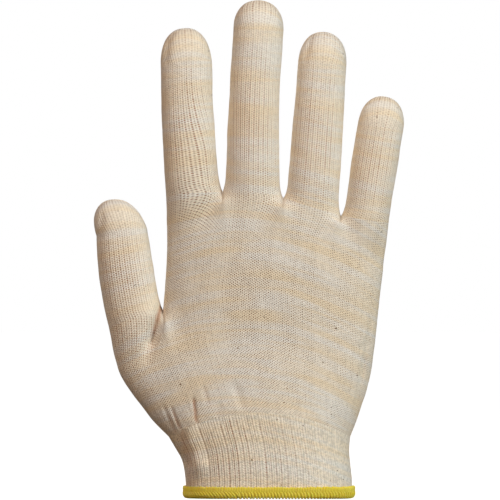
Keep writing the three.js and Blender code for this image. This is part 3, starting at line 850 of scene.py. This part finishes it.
# Plain knit: two legs to a stitch, with small staggered openings between the wales and inside each V
def knitStitchGroup():
    inputs = {"Wale": 0, "Course": 0, "Slant": 0.5, "Relief": 0.6}
    inputs |= {"Openness": 0.5, "Inside": 0.8, "Streak": 0.2}
    tree, given, out = newGroup("knitStitches", inputs, ["Height", "Openings"])
    wale, course = given["Wale"], given["Course"]
    fromMiddle = maths(tree, "SUBTRACT", maths(tree, "FRACT", wale), 0.5)
    across = times(tree, maths(tree, "ABSOLUTE", fromMiddle), 2)
    leg = maths(tree, "SINE", times(tree, across, math.pi))
    slanted = maths(tree, "SUBTRACT", course, times(tree, across, given["Slant"]))
    swell = maths(tree, "SINE", times(tree, maths(tree, "FRACT", slanted), math.pi))
    plain = maths(tree, "ADD", 0.35, times(tree, swell, 0.65))
    body = times(tree, leg, plain, given["Relief"])
    halfWale = maths(tree, "ROUND", times(tree, wale, 2))
    halfCourse = maths(tree, "FLOOR", times(tree, course, 2))
    byStitch = addNode(tree, "ShaderNodeTexWhiteNoise", noise_dimensions="2D")
    plug(tree, byStitch.inputs["Vector"], pairOf(tree, halfWale, halfCourse))
    byWale = addNode(tree, "ShaderNodeTexWhiteNoise", noise_dimensions="1D")
    plug(tree, byWale.inputs["W"], halfWale)
    stitchChance = ramp(tree, byStitch.outputs[0], 0, 1, 0.55, 1.25)
    chance = times(tree, stitchChance, ramp(tree, byWale.outputs[0], 0, 1, 0.6, 1.15))

    def dotAt(shift):
        moved = maths(tree, "FRACT", maths(tree, "ADD", course, shift))
        return ramp(tree, maths(tree, "SINE", times(tree, moved, math.pi)), 0.75, 1.0)

    ladder = times(tree, ramp(tree, across, 0.58, 0.93), dotAt(0))
    inside = times(tree, ramp(tree, across, 0.42, 0.07), dotAt(0.5), given["Inside"])
    streak = times(tree, ramp(tree, across, 0.7, 1.0), given["Streak"])
    drawn = maths(tree, "MAXIMUM", maths(tree, "MAXIMUM", ladder, streak), inside)
    # the openings' mask: it sinks the bump, and the material paints shade into it
    holes = maths(tree, "MULTIPLY", times(tree, drawn, chance), given["Openness"], clamp=True)
    plug(tree, out["Openings"], holes)
    plug(tree, out["Height"], maths(tree, "SUBTRACT", body, times(tree, holes, 0.6)))
    return tree


# Soft bands along the courses, where one length of yarn is warmer than the next
def yarnBandGroup():
    tree, given, out = newGroup("yarnBands", {"Wale": 0, "Course": 0, "Width": 5}, ["Coolness"])

    def bandsOf(width, low, high, seed):
        along = maths(tree, "ADD", times(tree, given["Wale"], 0.035), seed)
        upwards = maths(tree, "DIVIDE", given["Course"], times(tree, given["Width"], width))
        cloud = addNode(tree, "ShaderNodeTexNoise", noise_dimensions="2D")
        place = pairOf(tree, along, upwards)
        setInputs(tree, cloud, {"Vector": place, "Scale": 1.0, "Detail": 1.5, "Roughness": 0.5})
        return ramp(tree, cloud.outputs[0], low, high)

    broad = times(tree, bandsOf(1.7, 0.36, 0.58, 3.0), 0.5)
    thin = times(tree, bandsOf(0.5, 0.4, 0.6, 11.0), 0.5)
    plug(tree, out["Coolness"], maths(tree, "ADD", broad, thin, clamp=True))
    return tree


stitchGroup = knitStitchGroup()
bandGroup = yarnBandGroup()


def newMaterial(name, roughness, sheen, sheenTint):
    material = bpy.data.materials.new(name)
    material.use_nodes = True
    tree = material.node_tree
    shader = tree.nodes["Principled BSDF"]
    setInputs(tree, shader, {"Roughness": roughness, "Specular IOR Level": 0.2})
    setInputs(tree, shader, {"Sheen Weight": sheen, "Sheen Roughness": 0.5, "Sheen Tint": sheenTint})
    return material, tree, shader


def scaled(tree, value, factor):
    node = addNode(tree, "ShaderNodeVectorMath", operation="SCALE")
    setInputs(tree, node, {0: value, "Scale": factor})
    return node.outputs[0]


# The place on the piece, in millimetres
def objectPlace(tree):
    return scaled(tree, addNode(tree, "ShaderNodeTexCoord").outputs["Object"], 1 / metre)


def noiseAt(tree, place, scale, detail=2.0):
    node = addNode(tree, "ShaderNodeTexNoise")
    setInputs(tree, node, {"Vector": place, "Scale": scale, "Detail": detail})
    return node.outputs[0]


def bumpFrom(tree, height, distance):
    node = addNode(tree, "ShaderNodeBump")
    setInputs(tree, node, {"Strength": 1, "Distance": distance, "Height": height})
    return node.outputs[0]


cotton = {
    "warm": (0.84, 0.71, 0.51, 1),
    "cool": (0.83, 0.785, 0.69, 1),
    # the openings' colours are painted shade, the dark seen inside the knit's holes: browner on the palm,
    # redder along the limbs
    "opening": (0.26, 0.14, 0.08, 1),
    "limbOpeningShade": (0.36, 0.14, 0.06, 1),
    "crease": (0.42, 0.2, 0.1, 1),
    "bandWidth": 6.0,
    "evenBand": (0.55, 0.55, 0.55, 1),
    "calm": 0.1,  # how much evener the bands are on the limbs
}


def cottonMaterial(name, look):
    material, tree, shader = newMaterial(name, 0.9, 0.15, (1, 0.95, 0.88, 1))
    split = addNode(tree, "ShaderNodeSeparateXYZ")
    plug(tree, split.inputs[0], addNode(tree, "ShaderNodeUVMap", uv_map="knit").outputs[0])
    wale, course = split.outputs[0], split.outputs[1]
    # on the cuff the openness also carries painted shade, fading from the left side
    tension, mark, columns = (attributeAt(tree, key) for key in ("openness", "mark", "streak"))
    place = objectPlace(tree)
    knots = noiseAt(tree, place, 0.75)
    patches = ramp(tree, noiseAt(tree, place, 0.09), 0.3, 0.7, 0.6 * look["open"], 1.2 * look["open"])
    patches = times(tree, patches, ramp(tree, knots, 0.35, 0.65, 0.85, 1.2))
    openness = times(tree, tension, patches)
    onColumns = ramp(tree, columns, 0.3, 1, 1, 0.45)
    onTension = ramp(tree, tension, 0.75, 1.1, 1, 0.5)
    stitches = placeGroup(
        tree,
        stitchGroup,
        Wale=wale,
        Course=course,
        Openness=openness,
        Inside=times(tree, maths(tree, "MINIMUM", onColumns, onTension), look["inside"]),
        Streak=times(tree, ramp(tree, openness, 0.3, 1.0, 0.15, 1.0), columns, look["streak"]),
        Relief=maths(tree, "ADD", 0.3, times(tree, columns, look["relief"])),
        Slant=look["slant"],
    )
    bands = placeGroup(tree, bandGroup, Wale=wale, Course=course, Width=cotton["bandWidth"])
    coolness = mixColor(tree, times(tree, columns, cotton["calm"]), bands["Coolness"], cotton["evenBand"])
    yarn = mixColor(tree, coolness, cotton["warm"], cotton["cool"])
    fibres = ramp(tree, noiseAt(tree, place, 2.2, 4.0), 0.25, 0.75, 0.94, 1.04)
    # painted shade: the yarn is darker where the stitches lie low, in their grooves and holes
    grooveShade = ramp(tree, stitches["Height"], -0.3, 0.7, 0.84, 1.03)
    # painted shade: darker in the low spots of the uneven bump that the same noise makes
    knotShade = ramp(tree, knots, 0.35, 0.6, 1 - 0.22 * look["uneven"], 1.03)
    yarnWithPaintedShade = scaled(tree, yarn, times(tree, fibres, grooveShade, knotShade))
    # painted shade in the openings: the holes' mask mixes in a dark colour
    opening = mixColor(tree, columns, cotton["opening"], cotton["limbOpeningShade"])
    base = mixColor(tree, stitches["Openings"], yarnWithPaintedShade, opening)
    # painted shade along the creases
    color = mixColor(tree, mark, base, cotton["crease"])
    height = maths(tree, "ADD", stitches["Height"], times(tree, knots, look["uneven"]))
    setInputs(tree, shader, {"Base Color": color, "Normal": bumpFrom(tree, height, look["depth"])})
    return material


knitLook = {
    "open": 1.9,
    "inside": 1.0,
    "streak": 0.1,
    "relief": 0.3,
    "slant": 0.5,
    "uneven": 0.4,
    "depth": 0.0002,
}
ribLook = {
    "open": 1.1,
    "inside": 0.1,
    "streak": 0.55,
    "relief": 0.5,
    "slant": 1.0,
    "uneven": 0.8,
    "depth": 0.00025,
}
clothKeys = ["openness", "streak", "mark"]


def placePiece(piece, slot, *nodes):
    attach(piece, "root")
    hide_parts(*nodes)


handCloth = buildHand()
hand = makeMesh("handKnit", handCloth, cottonMaterial("knitCotton", knitLook), clothKeys)
handNodes = ["palm_body", "index_finger", "middle_finger", "ring_finger", "little_finger", "thumb"]
placePiece(hand, "knit", *handNodes)
print("hand knit:", len(handCloth["quads"]) * 2, "triangles")

cuffCloth = buildCuff()
cuff = makeMesh("ribCuff", cuffCloth, cottonMaterial("ribCotton", ribLook), clothKeys)
placePiece(cuff, "cuff_rib", "rib_cuff")
print("ribbed cuff:", len(cuffCloth["quads"]) * 2, "triangles")

# The overlocked edge: a bound core with a thread laid over it at each stitch
edging = {
    "pitch": 1.57,
    "half": 2.55,  # thickness on each side of the cuff's wall line
    "strand": 0.58,
    "fineStrand": 0.4,
    "strandSides": 6,
    "rise": 0.5,
    "slantUntil": -15.5,  # where the thread was joined, and the stitches lie steeper after it
    "frontEnds": 0.2,  # the slanted stitches lie where the edge faces forwards, or back by less than this
    "slant": 1.7,
    "steep": 0.7,
    "lineSteps": 400,  # of the cuff's wall line, on each side
    "lookAround": 0.4,
    "jitter": 0.12,
    "lift": 0.2,
    "overShade": (0.85, 1.15),
    # the second, lower upright of each stitch lies between the stitches and is painted darker as shade; the
    # first varies only in tone
    "uprights": [(0, 0, (1.0, 1.25)), (0.5, 0.25, (0.6, 0.85))],  # place in the pitch, drop and shade
    # the core shows in the gaps between the strands and is painted darker as their shade
    "coreShade": 0.6,
}


# Gives the place at any station along the cuff's lower edge, and the way out from it
def edgingLine():
    onWall = (glove["wall"] + glove["ribHeight"]) / 2
    wallLine = makeCourse({**cuffSection(1), "arch": 0}, onWall, edging["lineSteps"])
    loop = np.concatenate([wallLine[0], wallLine[1][-2:0:-1]])[:, :2]
    closed = np.vstack([loop, loop[:1]])
    run = np.concatenate([[0], np.cumsum(np.linalg.norm(np.diff(closed, axis=0), axis=1))])
    length = run[-1]

    def pointAt(station):
        s = np.mod(station, length)
        return np.stack([np.interp(s, run, closed[:, k]) for k in (0, 1)], axis=-1)

    def at(station):
        s = np.mod(station, length)
        along = pointAt(s + edging["lookAround"]) - pointAt(s - edging["lookAround"])
        along /= np.linalg.norm(along, axis=-1, keepdims=True)
        return pointAt(s), np.stack([along[..., 1], -along[..., 0]], axis=-1)

    return at, length


# A path of offset, height and shift along the edge, made smooth
def smoothPath(points, steps):
    points = np.array(points, dtype=float)
    padded = np.vstack([2 * points[0] - points[1], points, 2 * points[-1] - points[-2]])
    rows = []
    for i in range(len(points) - 1):
        p0, p1, p2, p3 = padded[i : i + 4]
        square, cube = 2 * p0 - 5 * p1 + 4 * p2 - p3, 3 * p1 - p0 - 3 * p2 + p3
        for t in np.linspace(0, 1, steps, endpoint=False):
            rows.append(0.5 * (2 * p1 + (p2 - p0) * t + square * t**2 + cube * t**3))
    rows.append(points[-1])
    return np.array(rows)


def tubeAlong(path, radii, sides):
    tangent = np.gradient(path, axis=0)
    tangent /= np.linalg.norm(tangent, axis=1, keepdims=True)
    guide = np.cross(tangent, [0.3, 0.2, 1.0])
    guide /= np.maximum(np.linalg.norm(guide, axis=1, keepdims=True), 1e-6)
    side = np.cross(tangent, guide)
    turn = np.linspace(0, 2 * math.pi, sides, endpoint=False)
    ring = guide[:, None] * np.cos(turn)[None, :, None] + side[:, None] * np.sin(turn)[None, :, None]
    return path[:, None] + ring * radii[:, None, None]


# The thread's ways over the core, as offset, height and shift
def overStroke(reach, top, foot, slant):
    return [
        (reach - 0.5, top - 2.2, -0.25 * slant),
        (reach + 0.12, top - 2.8, 0),
        (reach + 0.1, top - 3.6, 0.45 * slant),
        (reach - 0.1, top - 4.4, 0.85 * slant),
        (reach * 0.55, foot, 1.1 * slant),
        (-reach * 0.5, foot, 1.2 * slant),
        (-reach, top - 4.0, 1.2 * slant),
        (-reach - 0.02, top - 2.4, 1.15 * slant),
        (-reach, top - 0.6, 1.1 * slant),
        (-0.9, top - 0.9, 1.1 * slant),
    ]


def uprightStroke(reach, top, drop, lift, slant):
    return [
        (0.9, top - 0.5 - drop, 0),
        (reach, top - 0.3 - drop + lift, 0.02),
        (reach + 0.12, top - 1.2 - drop, 0.05),
        (reach + 0.06, top - 2.3 - drop, 0.12 * slant),
        (reach - 0.4, top - 3.2, 0.3 * slant),
    ]


# Corners of the core's section, as offset and height, round the slot that the cuff stands in
def coreSection(reach, top):
    slot = (glove["wall"] + glove["ribHeight"]) / 2 + 0.1
    side = reach + 0.12
    low, foot = cuffFoot - 0.4, 0.55
    left = [(-side, top - 1), (-side, 1.4), (-side * 0.6, foot)]
    right = [(side * 0.6, foot), (side, 1.4), (side, top - 1)]
    return left + right + [(slot, top - 0.6), (slot, low), (-slot, low), (-slot, top - 0.6)]


def buildEdging():
    at, length = edgingLine()
    count = int(round(length / edging["pitch"]))
    pitch = length / count
    dice = random.Random(5)
    points, quads, shades = [], [], []
    total = 0

    def addTube(path, radius, toneAndShade):
        nonlocal total
        sides = edging["strandSides"]
        grow = np.sin(np.linspace(0.12, math.pi - 0.12, len(path))) ** 0.25
        rings = tubeAlong(path, radius * grow, sides)
        points.append(rings.reshape(-1, 3))
        index = total + np.arange(len(path) * sides).reshape(len(path), sides)
        nextSide = np.roll(index, -1, axis=1)
        quads.append(np.stack([index[:-1], nextSide[:-1], nextSide[1:], index[1:]], axis=-1).reshape(-1, 4))
        for end, flip in ((index[0], True), (index[-1], False)):
            caps = np.array([[end[0], end[1], end[2], end[3]], [end[0], end[3], end[4], end[5]]])
            quads.append(caps[:, ::-1] if flip else caps)
        shades.append(np.full(len(path) * sides, toneAndShade))
        total += len(path) * sides

    def laid(stroke, station):
        local = smoothPath(stroke, 3)
        here, out = at(station + local[:, 2])
        return np.column_stack([here + out * local[:, :1], local[:, 1]])

    strand = edging["strand"]
    top = glove["edgingHeight"] + edging["rise"]
    reach = edging["half"] - strand
    for i in range(count):
        station = i * pitch
        here, out = at(np.array(station))
        slanted = out[1] < edging["frontEnds"] and here[0] < edging["slantUntil"]
        slant = edging["slant"] if slanted else edging["steep"]
        jitter = dice.uniform(-edging["jitter"], edging["jitter"])
        lift = dice.uniform(-edging["lift"], edging["lift"])
        over = overStroke(reach, top, strand + 0.02, slant)
        addTube(laid(over, station + jitter), strand, dice.uniform(*edging["overShade"]))
        for part, drop, toneAndShade in edging["uprights"]:
            upright = uprightStroke(reach, top, drop, lift, slant)
            addTube(laid(upright, station + part * pitch), edging["fineStrand"], dice.uniform(*toneAndShade))
    here, out = at(np.linspace(0, length, count * 2, endpoint=False))
    corners = [np.column_stack([here + out * o, np.full(len(here), h)]) for o, h in coreSection(reach, top)]
    core = np.stack(corners, axis=1)
    index = total + np.arange(core.shape[0] * core.shape[1]).reshape(core.shape[:2])
    nextStation, nextCorner = np.roll(index, -1, axis=0), np.roll(index, -1, axis=1)
    nextBoth = np.roll(nextStation, -1, axis=1)
    quads.append(np.stack([index, nextCorner, nextBoth, nextStation], axis=-1).reshape(-1, 4)[:, ::-1])
    points.append(core.reshape(-1, 3))
    shades.append(np.full(core.shape[0] * core.shape[1], edging["coreShade"]))
    points, quads = np.concatenate(points), np.concatenate(quads)
    flat = np.zeros((len(quads), 4, 2))
    return {"points": points, "quads": quads, "knit": flat, "toneAndShade": np.concatenate(shades)}


# the thread's own colour, and a painted shade colour for the gaps and the lower strands
thread = {"bright": (1.0, 0.75, 0.06, 1), "shadedThread": (0.8, 0.3, 0.01, 1)}


def threadMaterial():
    material, tree, shader = newMaterial("overlockThread", 0.5, 0.9, (1, 0.8, 0.2, 1))
    setInputs(tree, shader, {"Specular IOR Level": 0.5, "Subsurface Weight": 0.6})
    setInputs(tree, shader, {"Subsurface Radius": (1, 0.7, 0.15), "Subsurface Scale": 0.0015})
    place = objectPlace(tree)
    fibres = ramp(tree, noiseAt(tree, place, 1.6, 3.0), 0.3, 0.7, 0.85, 1.1)
    # each strand's random tone and painted shade mix the thread between its own colour and its painted shade
    # colour
    bright = ramp(tree, times(tree, attributeAt(tree, "toneAndShade"), fibres), 0.1, 0.8)
    base = mixColor(tree, bright, thread["shadedThread"], thread["bright"])
    twist = addNode(tree, "ShaderNodeTexWave", bands_direction="DIAGONAL")
    setInputs(tree, twist, {"Vector": place, "Scale": 1.3, "Distortion": 2.0})
    setInputs(tree, shader, {"Base Color": base, "Normal": bumpFrom(tree, twist.outputs["Fac"], 0.00004)})
    return material


edgingCloth = buildEdging()
edge = makeMesh("edgingThread", edgingCloth, threadMaterial(), ["toneAndShade"])
placePiece(edge, "edging_thread", "hem_edging")
print("edging:", len(edgingCloth["quads"]) * 2, "triangles")

# Bits of cotton seed caught in the yarn. In front each has its photo pixel and its size.
flecks = {
    "front": [
        (238, 348, 1), (264, 317, 1), (336, 328, 1.2), (323, 362, 0.9), (357, 375, 1), (381, 232, 1),
        (370, 355, 0.9), (287, 388, 0.9), (331, 407, 0.8), (331, 414, 0.8), (303, 425, 0.9), (284, 402, 1),
        (277, 419, 0.9), (252, 459, 1.6), (337, 470, 0.8), (343, 479, 0.8), (330, 480, 0.8), (281, 484, 1),
        (181, 384, 1), (135, 285, 0.9), (146, 286, 0.8), (118, 211, 0.8), (397, 108, 0.9), (377, 117, 0.8),
        (343, 54, 0.8), (209, 51, 0.8), (212, 95, 0.8), (213, 102, 0.8),
    ],
    "middlePixel": 269,  # where x is 0
    "footPixel": 498,  # where z is 0
    "pixel": 0.485,  # millimetres
    "backCount": 26,
    "backX": (-70, 50),
    "backZ": (12, 220),
    "backSize": (0.6, 1.1),
    "long": 0.4,
    "longShare": (0.9, 1.4),
    "wide": 0.26,
    "wideShare": (0.8, 1.2),
    "castFrom": 0.2,  # metres before or behind the glove
    "corners": 8,
    "rings": [(0.5, -0.2), (0.93, -0.05), (0.93, 0.1), (0.5, 0.2)],  # share of the width, and height
    "dark": (0.07, 0.04, 0.022, 1),
    "light": (0.26, 0.15, 0.07, 1),
}


def surfaceFinder():
    trees = []
    for piece in (hand, cuff):
        trees.append(BVHTree.FromObject(piece, bpy.context.evaluated_depsgraph_get()))

    def nearestAlong(start, direction):
        hits = [tree.ray_cast(start, direction) for tree in trees]
        hits = [hit for hit in hits if hit[0] is not None]
        return min(hits, key=lambda hit: hit[3]) if hits else None

    return nearestAlong


def fleckPlaces(dice):
    places = []
    for x, y, size in flecks["front"]:
        across = (x - flecks["middlePixel"]) * flecks["pixel"]
        places.append((across, (flecks["footPixel"] - y) * flecks["pixel"], size, -1))
    for _ in range(flecks["backCount"]):
        x, z = dice.uniform(*flecks["backX"]), dice.uniform(*flecks["backZ"])
        places.append((x, z, dice.uniform(*flecks["backSize"]), 1))
    return places


def fleckQuads(base):
    count, last = flecks["corners"], len(flecks["rings"]) - 1
    quads = []
    for level in range(last):
        for k in range(count):
            a, b = base + level * count + k, base + level * count + (k + 1) % count
            quads.append([a, b, b + count, a + count])
    for level, flip in ((0, True), (last, False)):
        s = base + level * count
        for k in (0, 2, 4):
            face = [s, s + k + 1, s + k + 2, s + (k + 3) % count]
            quads.append(face[::-1] if flip else face)
    return quads


def buildFlecks():
    hitAt = surfaceFinder()
    dice = random.Random(11)
    points, quads = [], []
    for x, z, size, facing in fleckPlaces(dice):
        start = Vector((x * metre, facing * flecks["castFrom"], z * metre))
        hit = hitAt(start, Vector((0, -facing, 0)))
        if hit is None:
            continue
        centre, normal = np.array(hit[0]) / metre, np.array(hit[1])
        turn = dice.uniform(0, math.pi)
        across = np.cross(normal, [0.2, 0.1, 1.0])
        across /= np.linalg.norm(across)
        along = np.cross(normal, across)
        first = across * math.cos(turn) + along * math.sin(turn)
        second = along * math.cos(turn) - across * math.sin(turn)
        long = flecks["long"] * size * dice.uniform(*flecks["longShare"])
        wide = flecks["wide"] * size * dice.uniform(*flecks["wideShare"])
        angles = np.linspace(0, 2 * math.pi, flecks["corners"], endpoint=False)
        quads += fleckQuads(sum(len(p) for p in points))
        for share, height in flecks["rings"]:
            ring = np.stack([long * share * np.cos(angles), wide * share * np.sin(angles)], axis=-1)
            points.append(centre + ring[:, :1] * first + ring[:, 1:] * second + normal * height)
    return {"points": np.concatenate(points), "quads": np.array(quads), "knit": np.zeros((len(quads), 4, 2))}


def fleckMaterial():
    material, tree, shader = newMaterial("cottonSeed", 0.8, 0.0, (1, 1, 1, 1))
    place = objectPlace(tree)
    light = ramp(tree, noiseAt(tree, place, 0.8), 0.35, 0.65)
    color = mixColor(tree, light, flecks["dark"], flecks["light"])
    normal = bumpFrom(tree, noiseAt(tree, place, 6.0), 0.0001)
    setInputs(tree, shader, {"Base Color": color, "Normal": normal})
    return material


fleckCloth = buildFlecks()
fleckPiece = makeMesh("cottonFlecks", fleckCloth, fleckMaterial(), [])
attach(fleckPiece, "root")
print("flecks:", len(fleckCloth["quads"]) * 2, "triangles")

# The floor, seen as white, the camera and the lights
stage = {"floorLevel": -0.6, "floorSize": 24000, "floor": (0.32, 0.26, 0.21, 1)}


def buildStage():
    half, level = stage["floorSize"] / 2 * metre, stage["floorLevel"] * metre
    mesh = bpy.data.meshes.new("floor")
    corners = [(-half, -half, level), (half, -half, level), (half, half, level), (-half, half, level)]
    mesh.from_pydata(corners, [], [(0, 1, 2, 3)])
    floor = bpy.data.objects.new("floor", mesh)
    bpy.context.scene.collection.objects.link(floor)
    material = bpy.data.materials.new("paleFloor")
    material.use_nodes = True
    tree = material.node_tree
    shader = tree.nodes["Principled BSDF"]
    seen = addNode(tree, "ShaderNodeLightPath").outputs["Is Camera Ray"]
    setInputs(tree, shader, {"Base Color": stage["floor"], "Roughness": 1})
    setInputs(tree, shader, {"Emission Color": (1, 1, 1, 1), "Emission Strength": seen})
    mesh.materials.append(material)


buildStage()

camera = {"distance": 6000, "frameSide": 242.5, "middle": (-9.2, 120.3), "sensor": 36}


def buildCamera():
    data = bpy.data.cameras.new("camera")
    data.sensor_width = camera["sensor"]
    data.lens = camera["sensor"] * camera["distance"] / camera["frameSide"]
    viewer = bpy.data.objects.new("camera", data)
    x, z = camera["middle"]
    viewer.location = (x * metre, -camera["distance"] * metre, z * metre)
    viewer.rotation_euler = (math.pi / 2, 0, 0)
    bpy.context.scene.collection.objects.link(viewer)
    bpy.context.scene.camera = viewer


buildCamera()

lights = [
    {"name": "key", "place": (1.99, -1.99, 1.15), "size": 1.3, "power": 69, "color": (0.93, 1, 1.03)},
    {"name": "fill", "place": (-1.11, -1.58, 2.42), "size": 1.3, "power": 38, "color": (1.2, 1, 0.91)},
    {"name": "back", "place": (-0.2, 2.6, 1.3), "size": 1, "power": 1.5, "color": (1, 0.98, 0.95),
     "spread": 35},
]
aimAt = (0, 0, 0.12)
ambient = (0.02, 0.015, 0.01, 1)


def buildLights():
    for spec in lights:
        data = bpy.data.lights.new(spec["name"], "AREA")
        data.shape = "DISK"
        data.size = spec["size"]
        data.energy = spec["power"]
        data.color = spec["color"]
        data.spread = math.radians(spec.get("spread", 180))
        light = bpy.data.objects.new(spec["name"], data)
        light.location = spec["place"]
        aim = Vector(aimAt) - light.location
        light.rotation_euler = aim.to_track_quat("-Z", "Y").to_euler()
        bpy.context.scene.collection.objects.link(light)
    world = bpy.data.worlds.new("studio")
    bpy.context.scene.world = world
    world.use_nodes = True
    tree = world.node_tree
    seen = addNode(tree, "ShaderNodeLightPath").outputs["Is Camera Ray"]
    tree.links.new(mixColor(tree, seen, ambient, (1, 1, 1, 1)), tree.nodes["Background"].inputs["Color"])
    bpy.context.scene.view_settings.view_transform = "Standard"


buildLights()
print("stage, camera and lights done")
